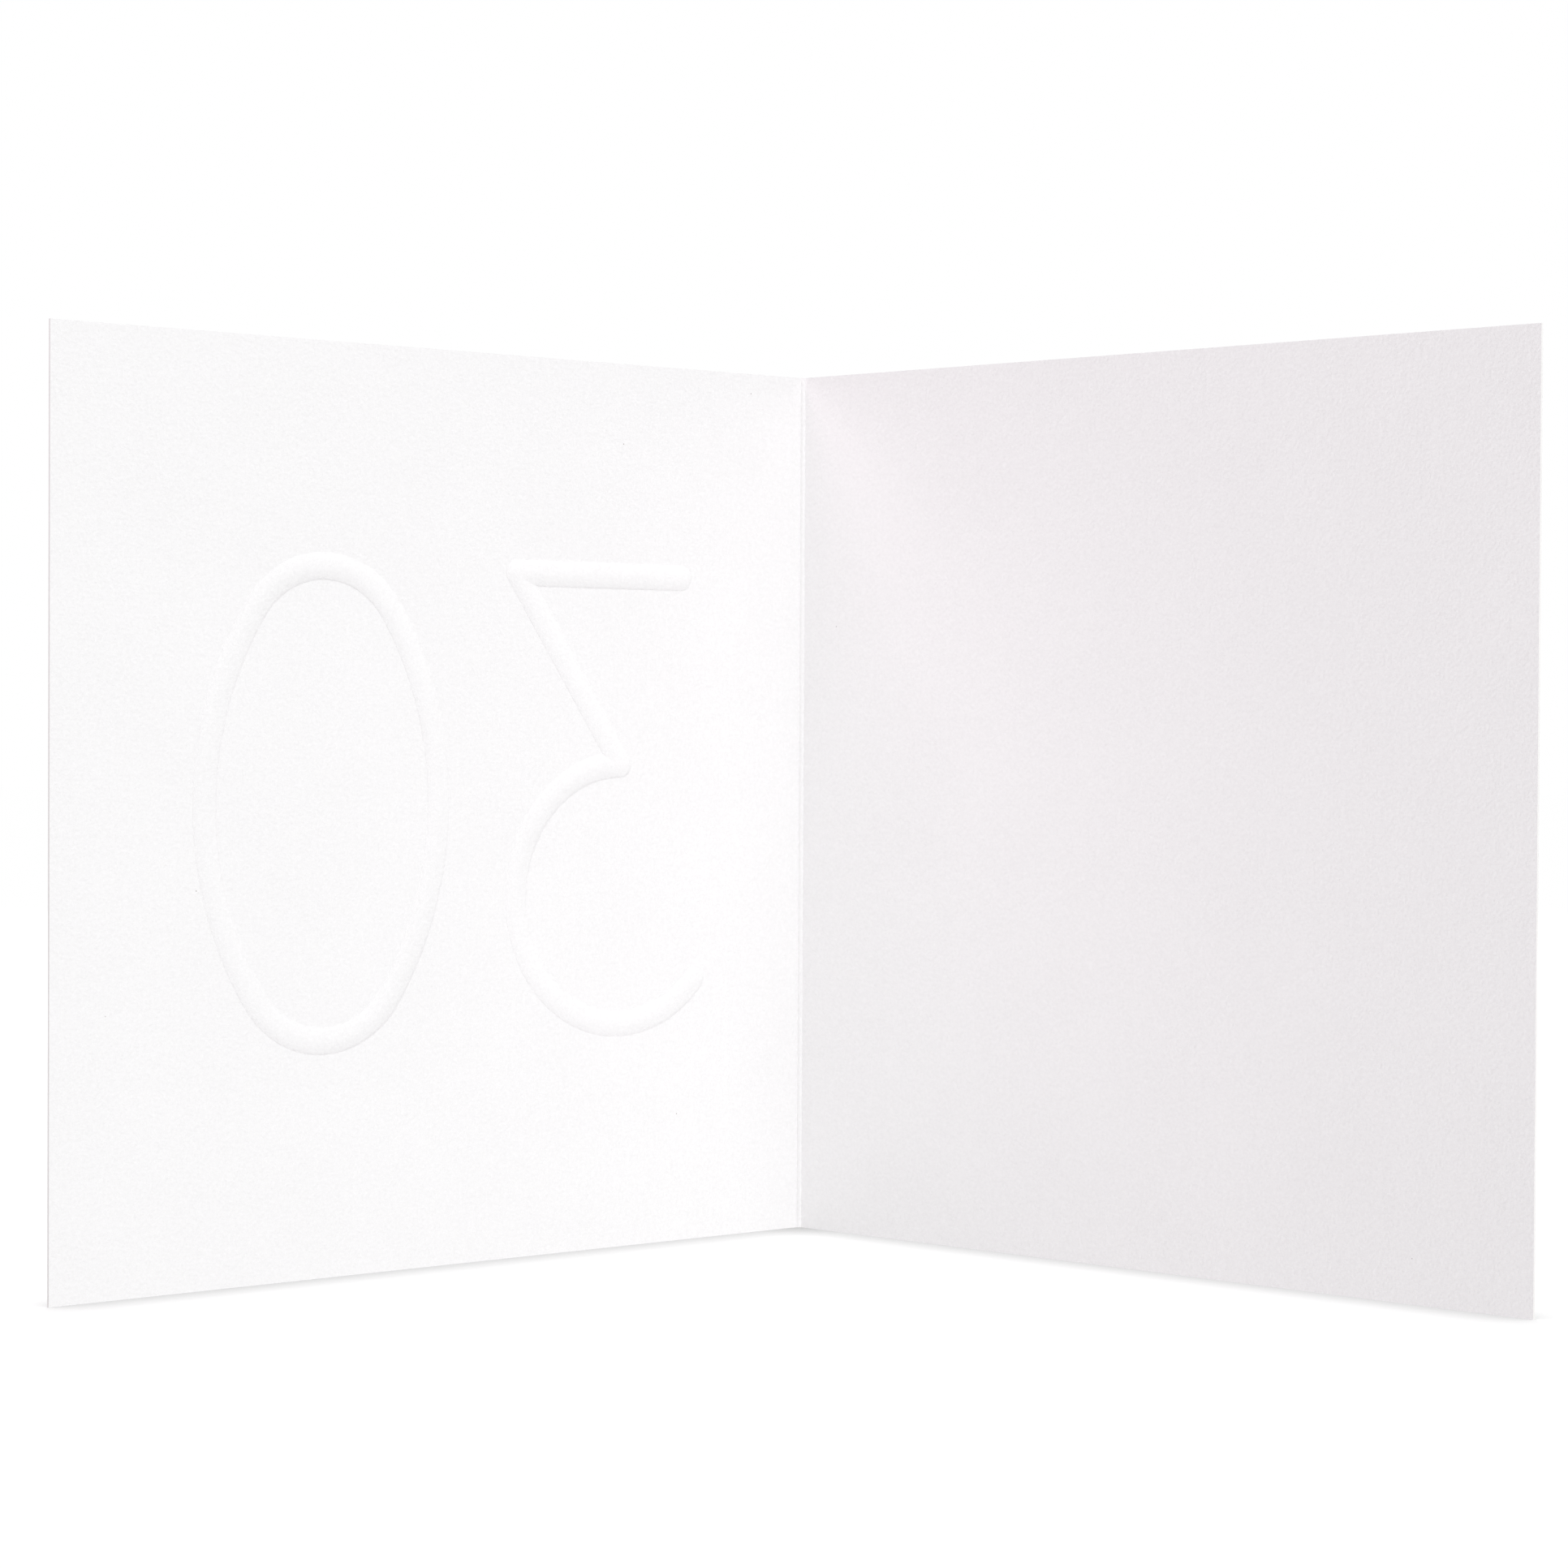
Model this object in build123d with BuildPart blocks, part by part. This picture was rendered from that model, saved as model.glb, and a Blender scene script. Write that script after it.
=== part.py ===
from build123d import *
import os
from math import asin, cos, degrees, radians, sin

# A square greeting card: one sheet of heavy board, creased once and stood open on its bottom edges.
# The fold stands upright at the back, the leaves come forward (-Y) on either side of it, and the
# origin is on the table at the middle of the card's footprint. All sizes are in millimetres.

# Sheet
leaf_width = 150.0  # fold to outer edge, measured on the inside face
leaf_height = 150.0
board = 0.45  # thickness
opening_angle = 97.0  # between the inside faces of the two leaves, in degrees

# Crease: the bend is rounded outside, and the score raises a bead along the valley inside
spine_radius = 0.8
bead_width = 0.8  # across the valley, foot to foot
bead_rise = 0.16  # crown above the line between its feet

# Blind embossing of the number 30, raised on the front leaf's outside and hollow on its inside.
# Lengths and heights of the digits are between the centrelines of their strokes.
stroke_width = 4.4  # of the hollow stroke, on the inside face
emboss_depth = 0.6
rim_width = 0.2  # of the steep rim on either side of the stroke's rounded bottom
rim_depth = 0.2
digit_height = 76.0
digit_gap = 15.7
number_lift = 1.0  # middle of the number above the middle of the leaf

# Three: a level bar, a slant back to the middle and a round bowl
three_width = 35.0
bowl_radius = 22.0
bowl_sweep = 227.0  # of the bowl's arc, clockwise from its top, in degrees

# Zero: an oval of four tangent arcs
zero_width = 44.6
zero_end_radius = 15.5

# Folded section, in a plane with its origin at the inside corner of the fold
lean = radians((180.0 - opening_angle) / 2)
leaf_direction = Vector(cos(lean), -sin(lean))
outward = Vector(sin(lean), cos(lean))
inner_tip = leaf_direction * leaf_width
outer_tip = inner_tip + outward * board
spine_centre = Vector(0, (board - spine_radius) / cos(lean))
spine_crest = spine_centre + Vector(0, spine_radius)
bead_foot = leaf_direction * (bead_width / 2 / cos(lean))
bead_crown = bead_foot - Vector(bead_width / 2, bead_rise)
bead_radius = (bead_width**2 / 4 + bead_rise**2) / (2 * bead_rise)

# The tips and the spine's crest reach equally far from the origin
fold_y = (leaf_width * sin(lean) - spine_crest.Y) / 2
fold_plane = Plane((0, fold_y, 0))

# The front leaf seen from its outside: x runs away from the fold, y up and z out of the face
front_leaf = Plane(
    origin=(0, fold_y, 0),
    x_dir=(-cos(lean), -sin(lean), 0),
    z_dir=(-sin(lean), cos(lean), 0),
)

# Outlines of the digits on the front leaf
number_width = three_width + digit_gap + zero_width
number_left = (leaf_width - number_width) / 2
number_right = number_left + number_width
middle_height = leaf_height / 2 + number_lift
digit_top = middle_height + digit_height / 2
digit_base = middle_height - digit_height / 2

three_right = number_left + three_width
bowl_centre = (three_right - bowl_radius, digit_base + bowl_radius)
with BuildLine(front_leaf) as three:
    Line((number_left, digit_top), (three_right, digit_top))
    Line((three_right, digit_top), (bowl_centre[0], digit_base + 2 * bowl_radius))
    CenterArc(bowl_centre, bowl_radius, 90, -bowl_sweep)

half_width = zero_width / 2
end_offset = digit_height / 2 - zero_end_radius
side_radius = (half_width**2 + end_offset**2 - zero_end_radius**2) / (2 * (half_width - zero_end_radius))
side_offset = side_radius - half_width
side_angle = degrees(asin(end_offset / (side_radius - zero_end_radius)))
zero_centre = front_leaf.from_local_coords((number_right - half_width, middle_height, 0))
with BuildLine(Plane(zero_centre, x_dir=front_leaf.x_dir, z_dir=front_leaf.z_dir)) as zero:
    for way, turn in ((1, 0), (-1, 180)):
        CenterArc((-way * side_offset, 0), side_radius, turn - side_angle, 2 * side_angle)
        CenterArc((0, way * end_offset), zero_end_radius, turn + side_angle, 180 - 2 * side_angle)

# A stroke's hollow is a shallow arc between two steep rims
hollow_half = stroke_width / 2 - rim_width
hollow_rise = emboss_depth - rim_depth
hollow_radius = (hollow_half**2 + hollow_rise**2) / (2 * hollow_rise)
hollow_end = Vector(hollow_half, rim_depth)
arc_out = (hollow_end - Vector(0, emboss_depth - hollow_radius)).normalized()
rim_out = Vector(rim_depth, rim_width).normalized()
rim_slope = rim_depth / rim_width


def draw_half_stroke(wall, floor):
    """Half the section of a stroke, from its middle to the face at the height of the wall."""
    crown = Vector(0, emboss_depth + wall)
    arc_end = hollow_end + arc_out * wall
    rim_start = hollow_end + rim_out * wall
    shoulder = Vector(rim_start.X + (rim_start.Y - wall) / rim_slope, wall)
    RadiusArc(crown, arc_end, hollow_radius + wall)
    if wall > 0:
        RadiusArc(arc_end, rim_start, wall)
    Polyline(rim_start, shoulder, (shoulder.X, floor), (0, floor), crown)


def press(wall, floor, mode):
    """Hollow every stroke of the number, or raise it by a wall, with round ends and corners."""
    for path in three.edges() + ShapeList([zero.wire()]):
        along = path % 0
        with BuildSketch(Plane(path @ 0, x_dir=front_leaf.z_dir.cross(along), z_dir=along)) as stroke:
            with BuildLine():
                draw_half_stroke(wall, floor)
            make_face()
            mirror(about=Plane.YZ)
        sweep(stroke.sketch, path=path, mode=mode)
    for end in three.vertices():
        with BuildSketch(Plane(end.center(), x_dir=front_leaf.x_dir, z_dir=(0, 0, -1))) as dome:
            with BuildLine():
                draw_half_stroke(wall, floor)
            make_face()
        revolve(dome.sketch, axis=Axis(end.center(), front_leaf.z_dir), mode=mode)


with BuildPart() as card:
    with BuildSketch(fold_plane):
        with BuildLine():
            RadiusArc(bead_crown, bead_foot, bead_radius)
            Polyline(bead_foot, inner_tip, outer_tip, spine_centre + outward * spine_radius)
            RadiusArc(spine_centre + outward * spine_radius, spine_crest, spine_radius)
            mirror(about=Plane.YZ)
        make_face()
    extrude(amount=leaf_height)
    press(wall=board, floor=board / 2, mode=Mode.ADD)
    press(wall=0, floor=-board, mode=Mode.SUBTRACT)

os.makedirs("parts", exist_ok=True)
card.part.label = "card"
export_step(card.part, "parts/card.step")
print("card: volume", round(card.part.volume), "mm3, box", card.part.bounding_box().size)
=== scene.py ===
from math import asin, cos, degrees, pi, radians, sin
import bpy
from mathutils import Matrix, Vector


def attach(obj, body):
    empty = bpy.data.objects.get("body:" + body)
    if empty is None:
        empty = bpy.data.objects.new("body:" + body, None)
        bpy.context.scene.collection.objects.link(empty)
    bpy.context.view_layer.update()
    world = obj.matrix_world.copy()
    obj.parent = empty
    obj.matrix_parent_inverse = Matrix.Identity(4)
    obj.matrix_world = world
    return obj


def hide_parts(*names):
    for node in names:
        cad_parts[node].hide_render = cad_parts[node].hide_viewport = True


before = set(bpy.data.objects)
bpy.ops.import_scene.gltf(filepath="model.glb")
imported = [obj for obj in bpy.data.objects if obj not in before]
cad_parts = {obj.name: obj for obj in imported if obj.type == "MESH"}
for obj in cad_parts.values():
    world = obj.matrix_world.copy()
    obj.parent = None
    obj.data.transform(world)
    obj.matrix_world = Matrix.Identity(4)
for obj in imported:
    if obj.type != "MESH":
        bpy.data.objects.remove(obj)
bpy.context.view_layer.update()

# A square greeting card of heavy white felt-marked board, stood open, with the number 30
# pressed blind into its front leaf. Metres throughout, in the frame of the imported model.

# Nodes in a row of the node editor, and the steps across and down between them
rowLength, acrossStep, downStep = 14, 200, -260


# Adds a node to a tree; sockets takes a value, a socket or a list of sockets for each named input
def addNode(tree, kind, sockets=(), **settings):
    node = tree.nodes.new(kind)
    down, across = divmod(len(tree.nodes), rowLength)
    node.location = (acrossStep * across, downStep * down)
    for name, value in settings.items():
        setattr(node, name, value)
    for name, value in dict(sockets).items():
        for source in value if isinstance(value, list) else [value]:
            if isinstance(source, bpy.types.NodeSocket):
                tree.links.new(source, node.inputs[name])
            else:
                node.inputs[name].default_value = source
    return node


def calc(tree, operation, *values):
    return addNode(tree, "ShaderNodeMath", enumerate(values), operation=operation).outputs[0]


def xyz(tree, x=0.0, y=0.0, z=0.0):
    return addNode(tree, "ShaderNodeCombineXYZ", {"X": x, "Y": y, "Z": z}).outputs[0]


# X, Y and Z of the vector that a new node of the kind puts out
def parts(tree, kind):
    return addNode(tree, "ShaderNodeSeparateXYZ", {0: addNode(tree, kind).outputs[0]}).outputs


# Makes a tree with its named inputs and outputs, each given by its type
def newTree(name, kind, inputs, outputs):
    tree = bpy.data.node_groups.new(name, kind)
    for way, sockets in (("INPUT", inputs), ("OUTPUT", outputs)):
        for label, socketType in sockets.items():
            tree.interface.new_socket(label, in_out=way, socket_type="NodeSocket" + socketType)
    return tree, addNode(tree, "NodeGroupInput").outputs, addNode(tree, "NodeGroupOutput")


# Camera, placed from the six corners of the two leaves
cameraSettings = {
    "place": (0.0109, -0.6329, 0.09045),
    "sensor": 36.0,      # side of the square sensor in mm, as the lens is
    "lens": 88.7,
    "nearest": 0.01,
    "yaw": -1.17,        # degrees, to the right of +Y
    "pitch": -1.01,
    "roll": -0.29,
}


def makeCamera(settings):
    yaw, pitch, roll = (radians(settings[name]) for name in ("yaw", "pitch", "roll"))
    ahead = Vector((sin(yaw) * cos(pitch), cos(yaw) * cos(pitch), sin(pitch)))
    level = Vector((cos(yaw), -sin(yaw), 0.0))
    down = ahead.cross(level)
    right = cos(roll) * level + sin(roll) * down
    up = sin(roll) * level - cos(roll) * down
    data = bpy.data.cameras.new("camera")
    data.sensor_width = settings["sensor"]
    data.lens = settings["lens"]
    data.clip_start = settings["nearest"]
    camera = bpy.data.objects.new("camera", data)
    bpy.context.scene.collection.objects.link(camera)
    turn = Matrix((right, up, -ahead)).transposed().to_4x4()
    camera.matrix_world = Matrix.Translation(settings["place"]) @ turn
    bpy.context.scene.camera = camera


makeCamera(cameraSettings)
print("camera set")

# The number, drawn as lines on the front leaf: x runs away from the fold, y up
numberSizes = {
    "height": 0.076,         # between the strokes' centrelines, as the widths are
    "gap": 0.0157,
    "lift": 0.001,           # middle of the number above the middle of the leaf
    "threeWidth": 0.035,
    "bowlRadius": 0.022,
    "bowlSweep": 227.0,      # degrees, clockwise from the bowl's top
    "zeroWidth": 0.0446,
    "zeroEndRadius": 0.0155,
    "arcStep": 1.0,          # degrees between points on an arc
    "sideStep": 1 / 3,       # the same on the zero's flatter sides
}

cardSizes = {
    "Leaf Width": 0.150,
    "Leaf Height": 0.150,
    "Board": 0.00045,
    "Opening": radians(97.0),
    "Spine Radius": 0.0008,
    "Bead Width": 0.0008,
    "Bead Rise": 0.00016,
    "Stroke Width": 0.0044,
    "Emboss Depth": 0.0006,
    "Rim Width": 0.0002,     # of the steep rim on either side of a stroke's rounded bottom
    "Rim Depth": 0.0002,
    "Corner": 0.00005,       # softness between a stroke's bottom and its rim
    "Shoulder": 0.00012,     # softness where a stroke meets the face
    "Facets": 36,            # across a stroke
    "Step": 0.0006,          # along a stroke
}


def arcPoints(centre, radius, start, sweep, step):
    count = max(2, round(abs(sweep) / step))
    turns = (radians(start + sweep * i / count) for i in range(count + 1))
    return [(centre[0] + radius * cos(t), centre[1] + radius * sin(t)) for t in turns]


# Bar, slant and bowl of the three, then the zero's oval of four tangent arcs
def numberLines(sizes, leafWidth, leafHeight):
    left = (leafWidth - sizes["threeWidth"] - sizes["gap"] - sizes["zeroWidth"]) / 2
    right = left + sizes["threeWidth"]
    middle = leafHeight / 2 + sizes["lift"]
    top = middle + sizes["height"] / 2
    bowl = (right - sizes["bowlRadius"], middle - sizes["height"] / 2 + sizes["bowlRadius"])
    bowlTop = (bowl[0], bowl[1] + sizes["bowlRadius"])
    strokes = [
        ([(left, top), (right, top)], False),
        ([(right, top), bowlTop], False),
        (arcPoints(bowl, sizes["bowlRadius"], 90, -sizes["bowlSweep"], sizes["arcStep"]), False),
    ]
    halfWidth, endRadius = sizes["zeroWidth"] / 2, sizes["zeroEndRadius"]
    rise = sizes["height"] / 2 - endRadius
    sideRadius = (halfWidth ** 2 + rise ** 2 - endRadius ** 2) / (2 * (halfWidth - endRadius))
    sideAngle = degrees(asin(rise / (sideRadius - endRadius)))
    centre = right + sizes["gap"] + halfWidth
    oval = []
    for way, turn in ((1, 0), (-1, 180)):
        side = (centre - way * (sideRadius - halfWidth), middle)
        oval += arcPoints(side, sideRadius, turn - sideAngle, 2 * sideAngle, sizes["sideStep"])[:-1]
        end = (centre, middle + way * rise)
        oval += arcPoints(end, endRadius, turn + sideAngle, 180 - 2 * sideAngle, sizes["arcStep"])[:-1]
    return strokes + [(oval, True)]


def makeNumberLines(sizes, leafWidth, leafHeight):
    data = bpy.data.curves.new("numberLines", "CURVE")
    data.dimensions = "3D"
    for points, closed in numberLines(sizes, leafWidth, leafHeight):
        spline = data.splines.new("POLY")
        spline.points.add(len(points) - 1)
        for point, (x, y) in zip(spline.points, points):
            point.co = (x, y, 0.0, 1.0)
        spline.use_cyclic_u = closed
    host = bpy.data.objects.new("numberLines", data)
    bpy.context.scene.collection.objects.link(host)
    return host


# Height of a stroke's section over the face, at a distance from the stroke's middle: a shallow
# arc, then a steep rim, with a soft corner between them and a soft shoulder at the face
def strokeHeight(tree, given, distance):
    radius = given["Radius"]
    root = calc(tree, "SQRT", calc(tree, "SUBTRACT", calc(tree, "MULTIPLY", radius, radius),
                                   calc(tree, "MULTIPLY", distance, distance)))
    arc = calc(tree, "ADD", calc(tree, "SUBTRACT", root, radius), given["Rise"])
    rim = calc(tree, "MULTIPLY", calc(tree, "SUBTRACT", given["Half Width"], distance), given["Rim Slope"])
    height = calc(tree, "SMOOTH_MIN", arc, rim, given["Corner"])
    return calc(tree, "SMOOTH_MAX", height, 0.0, given["Shoulder"])


# Distance from a stroke's middle for an even share of its half span: a third of the points
# lie on the arc, the others close together about the rim
def strokeReach(tree, given, share):
    arcShare = 1 / 3
    rimZone = 0.0005         # inside the stroke's edge, where the close points begin
    flat = calc(tree, "SUBTRACT", given["Half Width"], rimZone)
    rest = calc(tree, "SUBTRACT", given["Span"], flat)
    inner = calc(tree, "MULTIPLY", calc(tree, "MULTIPLY", share, 1 / arcShare), flat)
    beyond = calc(tree, "MULTIPLY_ADD", share, 1 / (1 - arcShare), -arcShare / (1 - arcShare))
    outer = calc(tree, "MULTIPLY_ADD", beyond, rest, flat)
    return calc(tree, "MINIMUM", inner, outer)


# Solids along every line: a swept section for each, and a domed disc at each end and corner
def makeStrokeTree():
    sizeNames = ("Radius", "Rise", "Half Width", "Rim Slope", "Corner", "Shoulder", "Span", "Face",
                 "Floor", "Step")
    tree, given, result = newTree(
        "pressedStroke", "GeometryNodeTree",
        {"Lines": "Geometry", "Facets": "Int", **{name: "Float" for name in sizeNames}},
        {"Solids": "Geometry"},
    )
    skim = 0.000002          # that a solid's flat skirt lies below the face, to leave the face whole
    domeSkim = 0.0000004     # that a dome lies below the swept sections
    domeSides, domeDepth = 120, 0.002
    sameTip = 0.00001        # ends of two lines closer than this share one dome

    # Section: the points over the stroke's width, and one more at each foot of the solid
    top = calc(tree, "ADD", given["Face"], -skim)
    points = calc(tree, "ADD", given["Facets"], 3)
    line = addNode(tree, "GeometryNodeCurvePrimitiveLine").outputs[0]
    line = addNode(tree, "GeometryNodeResampleCurve", {"Curve": line, "Count": points}).outputs[0]
    index = addNode(tree, "GeometryNodeInputIndex").outputs[0]
    share = calc(tree, "DIVIDE", calc(tree, "SUBTRACT", index, 1.0), given["Facets"])
    share = addNode(tree, "ShaderNodeClamp", {"Value": share}).outputs[0]
    share = calc(tree, "MULTIPLY_ADD", share, 2.0, -1.0)
    across = strokeReach(tree, given, calc(tree, "ABSOLUTE", share))
    height = calc(tree, "ADD", strokeHeight(tree, given, across), top)
    across = calc(tree, "MULTIPLY", across, calc(tree, "SIGN", share))
    foot = addNode(tree, "GeometryNodeCurveEndpointSelection").outputs[0]
    height = addNode(tree, "GeometryNodeSwitch", {
        "Switch": foot, "False": height, "True": given["Floor"]}, input_type="FLOAT").outputs[0]
    section = addNode(tree, "GeometryNodeSetPosition", {
        "Geometry": line, "Position": xyz(tree, height, across)}).outputs[0]
    section = addNode(tree, "GeometryNodeSetSplineCyclic", {"Geometry": section, "Cyclic": True}).outputs[0]

    # Each line swept by itself, so that every solid is closed
    lines = addNode(tree, "GeometryNodeSetCurveNormal", {
        "Curve": given["Lines"], "Normal": (0.0, 0.0, 1.0)}, mode="FREE").outputs[0]
    paths = addNode(tree, "GeometryNodeResampleCurve", {
        "Curve": lines, "Length": given["Step"]}, mode="LENGTH").outputs[0]
    paths = addNode(tree, "GeometryNodeSplitToInstances", {
        "Geometry": paths, "Group ID": index}, domain="CURVE").outputs[0]
    sweeps = addNode(tree, "GeometryNodeCurveToMesh", {
        "Curve": paths, "Profile Curve": section, "Fill Caps": True}).outputs[0]

    # Domes, the section turned round, on the ends of the open lines
    closed = addNode(tree, "GeometryNodeInputSplineCyclic").outputs[0]
    tip = addNode(tree, "GeometryNodeCurveEndpointSelection").outputs[0]
    tip = addNode(tree, "FunctionNodeBooleanMath", {0: tip, 1: closed}, operation="NIMPLY").outputs[0]
    marked = addNode(tree, "GeometryNodeStoreNamedAttribute", {
        "Geometry": given["Lines"], "Name": "tip", "Value": tip,
    }, data_type="BOOLEAN", domain="POINT").outputs[0]
    wires = addNode(tree, "GeometryNodeCurveToMesh", {"Curve": marked}).outputs[0]
    wires = addNode(tree, "GeometryNodeMergeByDistance", {"Geometry": wires, "Distance": sameTip}).outputs[0]
    tip = addNode(tree, "GeometryNodeInputNamedAttribute", {"Name": "tip"}, data_type="BOOLEAN").outputs[0]
    disc = addNode(tree, "GeometryNodeMeshCylinder", {
        "Vertices": domeSides, "Fill Segments": calc(tree, "DIVIDE", given["Facets"], 2.0),
        "Radius": given["Span"], "Depth": domeDepth}).outputs[0]
    place = parts(tree, "GeometryNodeInputPosition")
    ring = calc(tree, "SQRT", calc(tree, "MULTIPLY_ADD", place["X"], place["X"],
                                   calc(tree, "MULTIPLY", place["Y"], place["Y"])))
    reach = strokeReach(tree, given, calc(tree, "DIVIDE", ring, given["Span"]))
    moved = calc(tree, "DIVIDE", reach, ring)
    domeTop = calc(tree, "ADD", top, -domeSkim)
    domeHeight = calc(tree, "ADD", strokeHeight(tree, given, reach), domeTop)
    upper = calc(tree, "GREATER_THAN", place["Z"], 0.0)
    domeHeight = addNode(tree, "GeometryNodeSwitch", {
        "Switch": upper, "False": given["Floor"], "True": domeHeight}, input_type="FLOAT").outputs[0]
    domePlace = xyz(tree, calc(tree, "MULTIPLY", place["X"], moved),
                    calc(tree, "MULTIPLY", place["Y"], moved), domeHeight)
    dome = addNode(tree, "GeometryNodeSetPosition", {"Geometry": disc, "Position": domePlace}).outputs[0]
    domes = addNode(tree, "GeometryNodeInstanceOnPoints", {
        "Points": wires, "Selection": tip, "Instance": dome}).outputs[0]
    joined = addNode(tree, "GeometryNodeJoinGeometry", {0: [sweeps, domes]}).outputs[0]
    tree.links.new(joined, result.inputs["Solids"])
    return tree


# The card as a rule: a folded sheet, raised on one side and hollowed on the other along the lines
def makeCardTree(strokeTree, sizes):
    sizeTypes = {name: "Int" if isinstance(value, int) else "Float" for name, value in sizes.items()}
    tree, given, result = newTree(
        "pressedCard", "GeometryNodeTree",
        {"Lines": "Geometry", **sizeTypes, "Face Material": "Material", "Edge Material": "Material"},
        {"Card": "Geometry"},
    )
    solver = "MANIFOLD"
    beadPoints, spinePoints = 17, 25
    sameCorner = 0.000001    # ends of the section's lines closer than this are joined
    narrowArea = 0.00002     # faces smaller than this are facets of the bead or the spine
    skirt = 0.0003           # of a pressed solid beside its stroke
    samePoint = 0.0000001    # points closer than this are one, after the cuts
    sharpBend = radians(14.0)
    squareOn = 0.999         # least cosine between a cut face's normal and its direction

    width, board = given["Leaf Width"], given["Board"]
    lean = calc(tree, "MULTIPLY", calc(tree, "SUBTRACT", pi, given["Opening"]), 0.5)
    c, s = calc(tree, "COSINE", lean), calc(tree, "SINE", lean)

    # Section of the folded sheet, its right half: bead, inside face, cut edge, outside face, spine
    footX = calc(tree, "MULTIPLY", given["Bead Width"], 0.5)
    footY = calc(tree, "MULTIPLY", footX, calc(tree, "MULTIPLY", calc(tree, "TANGENT", lean), -1.0))
    crown = xyz(tree, 0.0, calc(tree, "SUBTRACT", footY, given["Bead Rise"]))
    foot = xyz(tree, footX, footY)
    tipX = calc(tree, "MULTIPLY", c, width)
    tipY = calc(tree, "MULTIPLY", calc(tree, "MULTIPLY", s, width), -1.0)
    tip = xyz(tree, tipX, tipY)
    outerTip = xyz(tree, calc(tree, "MULTIPLY_ADD", s, board, tipX),
                   calc(tree, "MULTIPLY_ADD", c, board, tipY))
    radius = given["Spine Radius"]
    spineY = calc(tree, "DIVIDE", calc(tree, "SUBTRACT", board, radius), c)
    sideX, sideY = calc(tree, "MULTIPLY", s, radius), calc(tree, "MULTIPLY_ADD", c, radius, spineY)
    crestY = calc(tree, "ADD", spineY, radius)
    side = xyz(tree, sideX, sideY)
    bead = addNode(tree, "GeometryNodeCurveArc", {
        "Resolution": beadPoints, "Start": xyz(tree, calc(tree, "MULTIPLY", footX, -1.0), footY),
        "Middle": crown, "End": foot}, mode="POINTS").outputs[0]
    spine = addNode(tree, "GeometryNodeCurveArc", {
        "Resolution": spinePoints, "Start": side, "Middle": xyz(tree, 0.0, crestY),
        "End": xyz(tree, calc(tree, "MULTIPLY", sideX, -1.0), sideY)}, mode="POINTS").outputs[0]
    runs = [addNode(tree, "GeometryNodeCurvePrimitiveLine", {"Start": a, "End": b}).outputs[0]
            for a, b in ((foot, tip), (tip, outerTip), (outerTip, side))]
    half = addNode(tree, "GeometryNodeJoinGeometry", {0: runs}).outputs[0]
    other = addNode(tree, "GeometryNodeTransform", {"Geometry": half, "Scale": (-1.0, 1.0, 1.0)}).outputs[0]
    section = addNode(tree, "GeometryNodeJoinGeometry", {0: [bead, half, other, spine]}).outputs[0]
    section = addNode(tree, "GeometryNodeCurveToMesh", {"Curve": section}).outputs[0]
    section = addNode(tree, "GeometryNodeMergeByDistance", {
        "Geometry": section, "Distance": sameCorner}).outputs[0]
    section = addNode(tree, "GeometryNodeMeshToCurve", {"Mesh": section}).outputs[0]
    upright = addNode(tree, "GeometryNodeCurvePrimitiveLine", {
        "End": xyz(tree, 0.0, 0.0, given["Leaf Height"])}).outputs[0]
    sheet = addNode(tree, "GeometryNodeCurveToMesh", {
        "Curve": upright, "Profile Curve": section, "Fill Caps": True}).outputs[0]

    # Flat faces stay flat, the narrow facets of bead and spine are smooth
    area = addNode(tree, "GeometryNodeInputMeshFaceArea").outputs[0]
    narrow = calc(tree, "LESS_THAN", area, narrowArea)
    sheet = addNode(tree, "GeometryNodeSetShadeSmooth", {
        "Geometry": sheet, "Shade Smooth": narrow}).outputs[0]
    sheet = addNode(tree, "GeometryNodeSetMaterial", {
        "Geometry": sheet, "Material": given["Face Material"]}).outputs[0]

    # Front leaf's plane, as seen from outside
    turned = addNode(tree, "FunctionNodeAxesToRotation", {
        "Primary Axis": xyz(tree, calc(tree, "MULTIPLY", s, -1.0), c),
        "Secondary Axis": xyz(tree, calc(tree, "MULTIPLY", c, -1.0), calc(tree, "MULTIPLY", s, -1.0)),
    }, primary_axis="Z", secondary_axis="X").outputs[0]

    # Hollow inside and ridge outside keep a board's thickness between them
    depth, rimWidth, rimDepth = given["Emboss Depth"], given["Rim Width"], given["Rim Depth"]
    hollowHalf = calc(tree, "MULTIPLY", given["Stroke Width"], 0.5)
    arcHalf = calc(tree, "SUBTRACT", hollowHalf, rimWidth)
    arcRise = calc(tree, "SUBTRACT", depth, rimDepth)
    chord = calc(tree, "MULTIPLY_ADD", arcHalf, arcHalf, calc(tree, "MULTIPLY", arcRise, arcRise))
    hollowRadius = calc(tree, "DIVIDE", chord, calc(tree, "MULTIPLY", arcRise, 2.0))
    ridgeRadius = calc(tree, "ADD", hollowRadius, board)
    slope = calc(tree, "DIVIDE", rimDepth, rimWidth)
    steepness = calc(tree, "SQRT", calc(tree, "MULTIPLY_ADD", slope, slope, 1.0))
    wider = calc(tree, "MULTIPLY", board, calc(tree, "SUBTRACT", steepness, 1.0))
    ridgeHalf = calc(tree, "ADD", hollowHalf, calc(tree, "DIVIDE", wider, slope))
    shared = {name: given[name] for name in ("Lines", "Corner", "Shoulder", "Facets", "Step")}
    pressed = []
    for arcRadius, halfWidth, face, floor in (
        (ridgeRadius, ridgeHalf, board, calc(tree, "MULTIPLY", board, 0.5)),
        (hollowRadius, hollowHalf, 0.0, calc(tree, "MULTIPLY", board, -1.0)),
    ):
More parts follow.
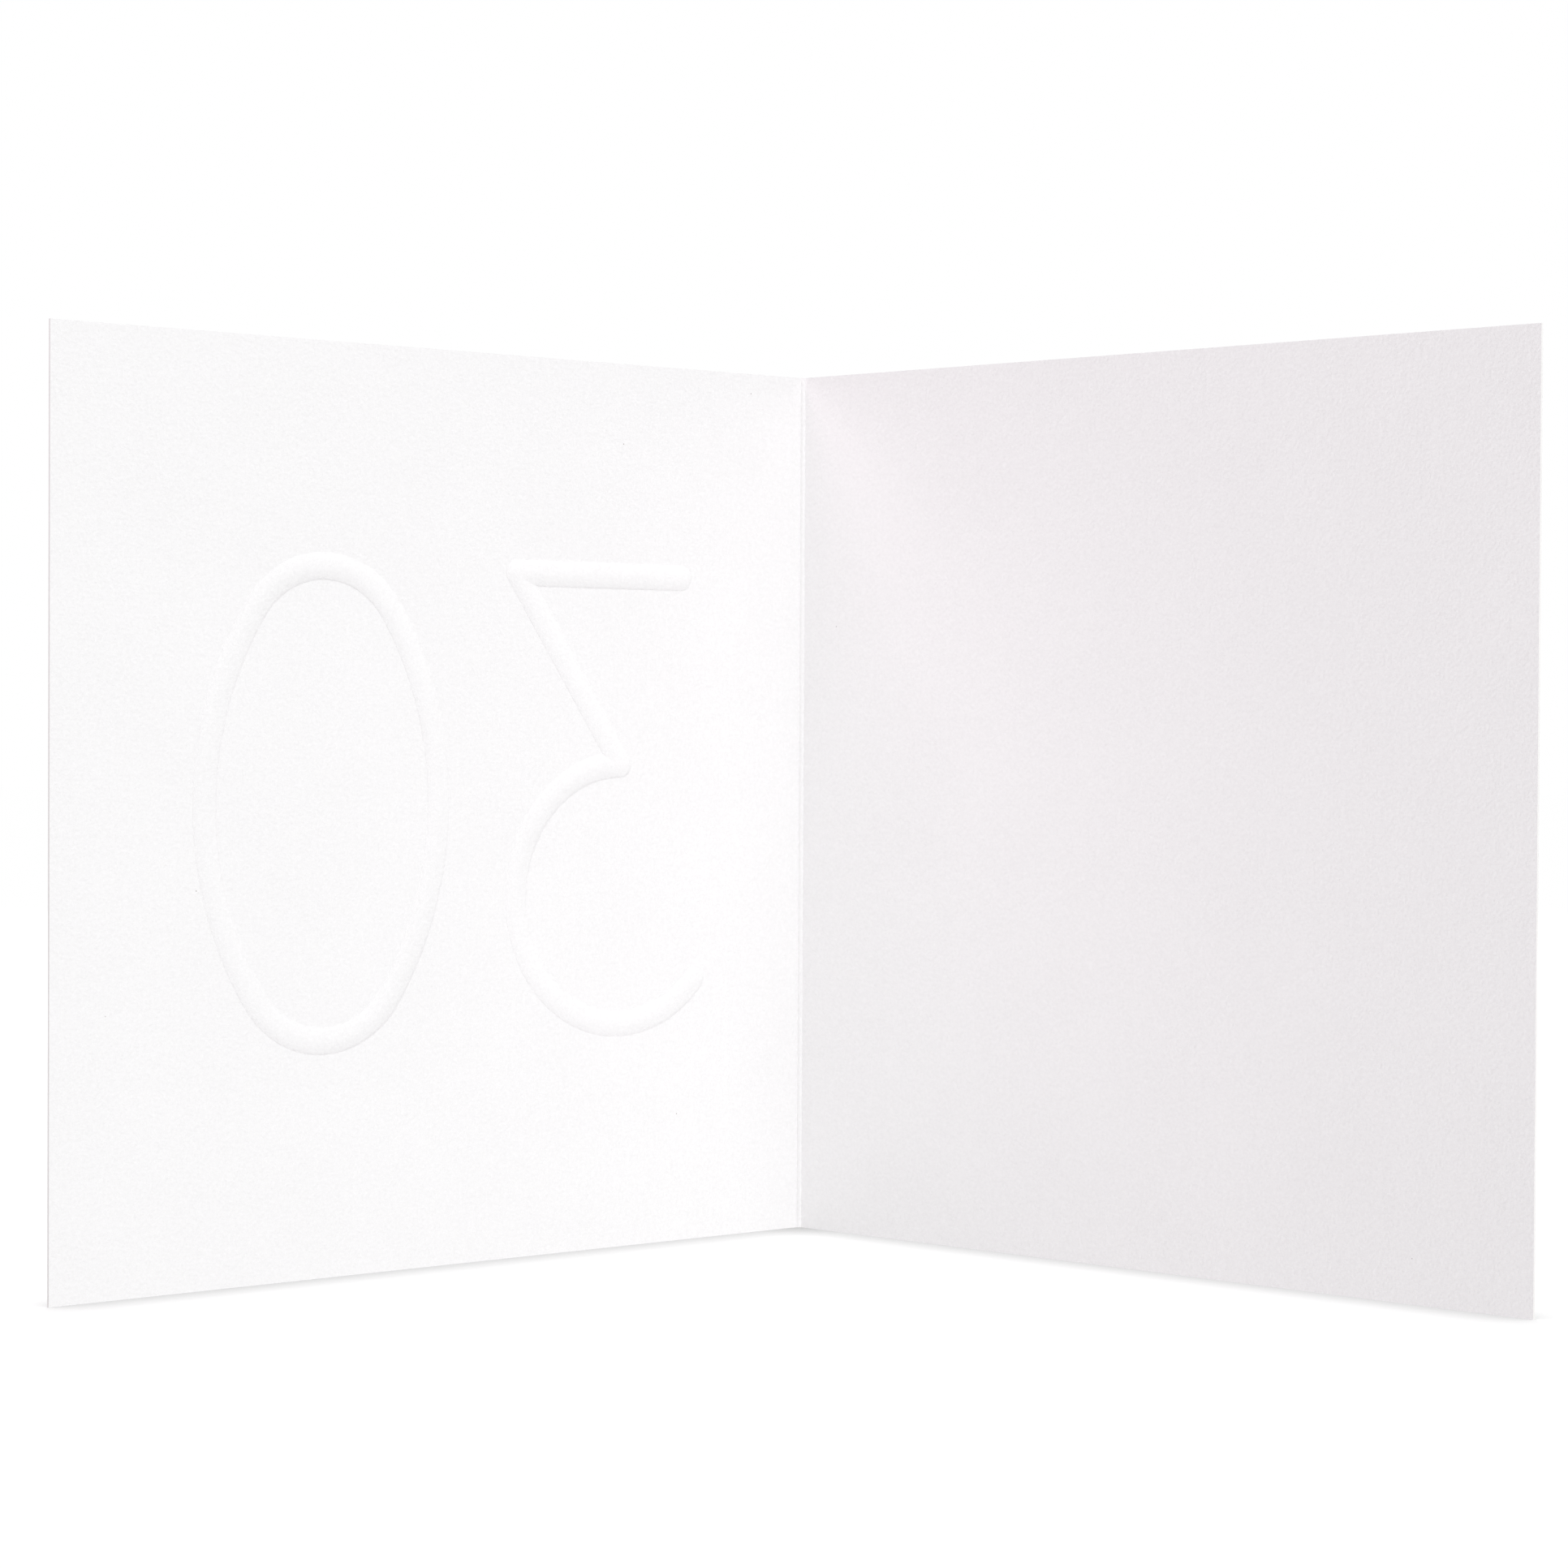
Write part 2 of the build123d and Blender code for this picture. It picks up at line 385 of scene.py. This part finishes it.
        solids = addNode(tree, "GeometryNodeGroup", {
            **shared, "Radius": arcRadius, "Rise": depth, "Half Width": halfWidth, "Rim Slope": slope,
            "Span": calc(tree, "ADD", halfWidth, skirt), "Face": face, "Floor": floor,
        }, node_tree=strokeTree).outputs[0]
        solids = addNode(tree, "GeometryNodeSetShadeSmooth", {"Geometry": solids}).outputs[0]
        solids = addNode(tree, "GeometryNodeTransform", {"Geometry": solids, "Rotation": turned}).outputs[0]
        pressed.append(addNode(tree, "GeometryNodeSetMaterial", {
            "Geometry": solids, "Material": given["Face Material"]}).outputs[0])
    raised = addNode(tree, "GeometryNodeMeshBoolean", {"Mesh 2": [sheet, pressed[0]]},
                     operation="UNION", solver=solver).outputs[0]
    card = addNode(tree, "GeometryNodeMeshBoolean", {"Mesh 1": raised, "Mesh 2": pressed[1]},
                   operation="DIFFERENCE", solver=solver).outputs[0]

    # The tips and the spine's crest reach equally far from the origin
    back = calc(tree, "MULTIPLY", calc(tree, "SUBTRACT", calc(tree, "MULTIPLY", s, width), crestY), 0.5)
    card = addNode(tree, "GeometryNodeTransform", {
        "Geometry": card, "Translation": xyz(tree, 0.0, back)}).outputs[0]
    card = addNode(tree, "GeometryNodeMergeByDistance", {
        "Geometry": card, "Distance": samePoint}).outputs[0]
    bend = addNode(tree, "GeometryNodeInputMeshEdgeAngle").outputs["Unsigned Angle"]
    card = addNode(tree, "GeometryNodeSetShadeSmooth", {
        "Geometry": card, "Selection": calc(tree, "GREATER_THAN", bend, sharpBend), "Shade Smooth": False,
    }, domain="EDGE").outputs[0]
    card = addNode(tree, "GeometryNodeRealizeInstances", {"Geometry": card}).outputs[0]

    # The sheet's cut edges are level at top and bottom, and face along the leaves at their tips
    normal, place = parts(tree, "GeometryNodeInputNormal"), parts(tree, "GeometryNodeInputPosition")
    level = calc(tree, "GREATER_THAN", calc(tree, "ABSOLUTE", normal["Z"]), squareOn)
    sideways = calc(tree, "MULTIPLY", normal["X"], calc(tree, "SIGN", place["X"]))
    ahead = calc(tree, "SUBTRACT", calc(tree, "MULTIPLY", sideways, c),
                 calc(tree, "MULTIPLY", normal["Y"], s))
    cut = calc(tree, "MAXIMUM", level, calc(tree, "GREATER_THAN", ahead, squareOn))
    card = addNode(tree, "GeometryNodeSetMaterial", {
        "Geometry": card, "Selection": cut, "Material": given["Edge Material"]}).outputs[0]
    tree.links.new(card, result.inputs["Card"])
    return tree


# Turns the evaluated host into a plain mesh piece
def makeCard(sizes, lines, faceMaterial, edgeMaterial):
    tree = makeCardTree(makeStrokeTree(), sizes)
    modifier = lines.modifiers.new("pressedCard", "NODES")
    modifier.node_group = tree
    for name, value in {**sizes, "Face Material": faceMaterial, "Edge Material": edgeMaterial}.items():
        modifier[tree.interface.items_tree[name].identifier] = value
    lines.update_tag()
    evaluated = lines.evaluated_get(bpy.context.evaluated_depsgraph_get())
    mesh = bpy.data.meshes.new_from_object(evaluated)
    mesh.name = "pressedCard"
    card = bpy.data.objects.new("pressedCard", mesh)
    bpy.context.scene.collection.objects.link(card)
    bpy.data.objects.remove(lines)
    return card


# Soft round marks that the felt leaves in the wet sheet, and how unevenly the pulp lies
def makeFeltTree():
    tree, given, result = newTree(
        "feltMarks", "ShaderNodeTree",
        {"Place": "Vector", "Mark Size": "Float", "Unevenness": "Float", "Mottle": "Float"},
        {"Height": "Float", "Cloud": "Float"},
    )
    broadScale, cloudScale = 0.22, 0.03      # against the marks' own scale
    thick, thin = 0.3, 0.7                   # ends of the noise that the pulp's two colours stand for
    scale = calc(tree, "DIVIDE", 1.0, given["Mark Size"])
    marks = addNode(tree, "ShaderNodeTexNoise", {
        "Vector": given["Place"], "Scale": scale, "Detail": 1.5, "Roughness": 0.6}).outputs[0]
    broad = addNode(tree, "ShaderNodeTexNoise", {
        "Vector": given["Place"], "Scale": calc(tree, "MULTIPLY", scale, broadScale),
        "Detail": 0.0}).outputs[0]
    height = addNode(tree, "ShaderNodeMix", {0: given["Unevenness"], 2: marks, 3: broad}).outputs[0]
    tree.links.new(height, result.inputs["Height"])
    cloud = addNode(tree, "ShaderNodeTexNoise", {
        "Vector": given["Place"], "Scale": calc(tree, "MULTIPLY", scale, cloudScale),
        "Detail": 1.0}).outputs[0]
    cloud = addNode(tree, "ShaderNodeMix", {0: given["Mottle"], 2: cloud, 3: marks}).outputs[0]
    cloud = addNode(tree, "ShaderNodeMapRange", {
        "Value": cloud, "From Min": thick, "From Max": thin}).outputs[0]
    tree.links.new(cloud, result.inputs["Cloud"])
    return tree


# Fine fibres, and here and there a grey speck in the pulp
def makeFibreTree():
    tree, given, result = newTree(
        "pulpFibres", "ShaderNodeTree",
        {"Place": "Vector", "Fibre Size": "Float", "Speck Spacing": "Float", "Speck Size": "Float",
         "Speck Share": "Float"},
        {"Height": "Float", "Speck": "Float"},
    )
    drawnOut = (0.35, 0.35, 1.0)             # the fibres lie level, nearly three times as long as high
    coreShare, rimShare = 0.25, 0.75         # of a speck's size, between which it fades
    drawn = addNode(tree, "ShaderNodeMapping", {"Vector": given["Place"], "Scale": drawnOut}).outputs[0]
    fibres = addNode(tree, "ShaderNodeTexNoise", {
        "Vector": drawn, "Scale": calc(tree, "DIVIDE", 1.0, given["Fibre Size"]), "Detail": 0.0}).outputs[0]
    tree.links.new(fibres, result.inputs["Height"])
    cells = addNode(tree, "ShaderNodeTexVoronoi", {
        "Vector": given["Place"], "Scale": calc(tree, "DIVIDE", 1.0, given["Speck Spacing"])}).outputs
    reach = calc(tree, "DIVIDE", given["Speck Size"], given["Speck Spacing"])
    near = addNode(tree, "ShaderNodeMapRange", {
        "Value": cells["Distance"], "From Min": calc(tree, "MULTIPLY", reach, coreShare),
        "From Max": calc(tree, "MULTIPLY", reach, rimShare), "To Min": 1.0, "To Max": 0.0}).outputs[0]
    chance = addNode(tree, "ShaderNodeSeparateColor", {0: cells["Color"]}).outputs[0]
    picked = calc(tree, "LESS_THAN", chance, given["Speck Share"])
    tree.links.new(calc(tree, "MULTIPLY", near, picked), result.inputs["Speck"])
    return tree


boardLook = {
    "white": (0.952, 0.946, 0.951),
    "cloud": (0.908, 0.901, 0.906),   # where the pulp lies thinner
    "speck": (0.45, 0.42, 0.40),
    "roughness": 0.82,
    "Mark Size": 0.00055,
    "Unevenness": 0.3,
    "Mottle": 0.8,           # share of the marks in the pulp's unevenness
    "markDepth": 0.00015,
    "Fibre Size": 0.00009,
    "Speck Spacing": 0.003,
    "Speck Size": 0.0002,
    "Speck Share": 0.025,
    "fibreDepth": 0.000015,
}

edgeLook = {
    "white": (0.90, 0.89, 0.885),
    "cloud": (0.84, 0.83, 0.82),
    "speck": (0.45, 0.42, 0.40),
    "roughness": 0.92,
    "Mark Size": 0.00025,
    "Unevenness": 0.2,
    "Mottle": 0.5,
    "markDepth": 0.00002,
    "Fibre Size": 0.00005,
    "Speck Spacing": 0.003,
    "Speck Size": 0.0001,
    "Speck Share": 0.0,
    "fibreDepth": 0.00001,
}


# Both finishes share the two groups, each with its own sizes
def makePaper(name, look, feltTree, fibreTree):
    material = bpy.data.materials.new(name)
    material.use_nodes = True
    tree = material.node_tree
    tree.nodes.clear()
    gloss = 0.3
    roughnessSpread = 0.08   # up and down, from fibre to fibre
    place = addNode(tree, "ShaderNodeTexCoord").outputs["Object"]
    felt, fibre = (
        addNode(tree, "ShaderNodeGroup", {"Place": place, **{label: look[label] for label in labels}},
                node_tree=group).outputs
        for group, labels in ((feltTree, ("Mark Size", "Unevenness", "Mottle")),
                              (fibreTree, ("Fibre Size", "Speck Spacing", "Speck Size", "Speck Share")))
    )
    pulp = addNode(tree, "ShaderNodeMix", {
        0: felt["Cloud"], 6: (*look["white"], 1.0), 7: (*look["cloud"], 1.0)}, data_type="RGBA").outputs[2]
    pulp = addNode(tree, "ShaderNodeMix", {
        0: fibre["Speck"], 6: pulp, 7: (*look["speck"], 1.0)}, data_type="RGBA").outputs[2]
    matt = addNode(tree, "ShaderNodeMapRange", {
        "Value": fibre["Height"], "To Min": look["roughness"] - roughnessSpread,
        "To Max": look["roughness"] + roughnessSpread}).outputs[0]
    marks = addNode(tree, "ShaderNodeBump", {
        "Height": felt["Height"], "Distance": look["markDepth"]}).outputs[0]
    relief = addNode(tree, "ShaderNodeBump", {
        "Height": fibre["Height"], "Distance": look["fibreDepth"], "Normal": marks}).outputs[0]
    shader = addNode(tree, "ShaderNodeBsdfPrincipled", {
        "Base Color": pulp, "Roughness": matt, "Normal": relief, "Specular IOR Level": gloss}).outputs[0]
    addNode(tree, "ShaderNodeOutputMaterial", {"Surface": shader})
    return material


feltTree, fibreTree = makeFeltTree(), makeFibreTree()
faceMaterial = makePaper("feltBoard", boardLook, feltTree, fibreTree)
edgeMaterial = makePaper("cutEdge", edgeLook, feltTree, fibreTree)
print("board and cut edge mixed")

lines = makeNumberLines(numberSizes, cardSizes["Leaf Width"], cardSizes["Leaf Height"])
card = makeCard(cardSizes, lines, faceMaterial, edgeMaterial)
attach(card, "root")
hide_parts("card")
print("card pressed:", len(card.data.polygons), "faces")

# Floor, lamps and world
lightLook = {
    "floorSize": 8.0,
    "floor": (0.80, 0.80, 0.80),
    "floorGlow": 1.25,            # strength of the white that is mixed into the lit floor
    "glowShare": 0.75,            # of that white in the mix, enough to show the floor white
    "contactReach": 0.012,        # how far the painted contact shadow reaches on the floor beside the card
    "contactShade": 0.75,         # share of the glow that is lost where the floor is all covered, as painted contact shade
    "worldLevel": 0.565,
    "worldLean": (0.143, -0.335, -0.395),   # how much brighter the world is towards +X, +Y and +Z
    "aim": (0.0, 0.0, 0.075),     # that every lamp points at
    "lamps": {                    # colour, power, place, size
        "key": ((1.0, 1.0, 1.0), 1.72, (0.55, -0.6, 0.2), 0.4),
        "fill": ((1.0, 0.80, 0.90), 0.92, (-0.45, -0.25, 0.5), 0.3),
        "back": ((1.0, 1.0, 1.0), 8.4, (-0.1, 1.0, 0.45), 0.5),
    },
}


def makeFloor(look):
    half = look["floorSize"] / 2
    mesh = bpy.data.meshes.new("floor")
    corners = [(-half, -half, 0.0), (half, -half, 0.0), (half, half, 0.0), (-half, half, 0.0)]
    mesh.from_pydata(corners, [], [(0, 1, 2, 3)])
    floor = bpy.data.objects.new("floor", mesh)
    bpy.context.scene.collection.objects.link(floor)
    floor.visible_diffuse = False
    floor.visible_shadow = False
    material = bpy.data.materials.new("paleFloor")
    material.use_nodes = True
    tree = material.node_tree
    tree.nodes.clear()
    lit = addNode(tree, "ShaderNodeBsdfPrincipled", {
        "Base Color": (*look["floor"], 1.0), "Roughness": 1.0, "Specular IOR Level": 0.0}).outputs[0]
    # Painted contact shadow: ambient occlusion darkens the floor's white glow close to the card. This is
    # shade painted into the glow, not cast by the lamps.
    openness = addNode(tree, "ShaderNodeAmbientOcclusion", {
        "Distance": look["contactReach"]}, samples=4).outputs["AO"]
    shade = calc(tree, "MULTIPLY_ADD", openness, look["contactShade"], 1.0 - look["contactShade"])
    glow = addNode(tree, "ShaderNodeEmission", {
        "Strength": calc(tree, "MULTIPLY", shade, look["floorGlow"])}).outputs[0]
    shader = addNode(tree, "ShaderNodeMixShader", {0: look["glowShare"], 1: lit, 2: glow}).outputs[0]
    addNode(tree, "ShaderNodeOutputMaterial", {"Surface": shader})
    mesh.materials.append(material)


# The world lights the card with its own soft slope, and shows plain white
def makeWorld(look):
    world = bpy.data.worlds.new("studio")
    bpy.context.scene.world = world
    world.use_nodes = True
    tree = world.node_tree
    tree.nodes.clear()
    toward = addNode(tree, "ShaderNodeTexCoord").outputs["Generated"]
    lean = addNode(tree, "ShaderNodeVectorMath", {
        0: toward, 1: look["worldLean"]}, operation="DOT_PRODUCT").outputs["Value"]
    level = calc(tree, "MAXIMUM", calc(tree, "ADD", lean, look["worldLevel"]), 0.0)
    soft, white = (addNode(tree, "ShaderNodeBackground", {
        "Color": (1.0, 1.0, 1.0, 1.0), "Strength": strength}).outputs[0] for strength in (level, 1.0))
    ray = addNode(tree, "ShaderNodeLightPath").outputs
    seen = calc(tree, "MAXIMUM", ray["Is Camera Ray"], ray["Is Glossy Ray"])
    seen = calc(tree, "MAXIMUM", seen, ray["Is Transmission Ray"])
    shown = addNode(tree, "ShaderNodeMixShader", {0: seen, 1: soft, 2: white}).outputs[0]
    addNode(tree, "ShaderNodeOutputWorld", {"Surface": shown})


def makeLamp(name, colour, power, place, size, aim):
    data = bpy.data.lights.new(name, "AREA")
    data.shape = "SQUARE"
    data.color = colour
    data.energy = power
    data.size = size
    lamp = bpy.data.objects.new(name, data)
    bpy.context.scene.collection.objects.link(lamp)
    lamp.location = place
    lamp.rotation_euler = (Vector(aim) - Vector(place)).to_track_quat("-Z", "Y").to_euler()
    lamp.visible_camera = False


makeFloor(lightLook)
makeWorld(lightLook)
for name, (colour, power, place, size) in lightLook["lamps"].items():
    makeLamp(name, colour, power, place, size, lightLook["aim"])
bpy.context.scene.view_settings.view_transform = "Standard"
print("floor, world and lamps set")
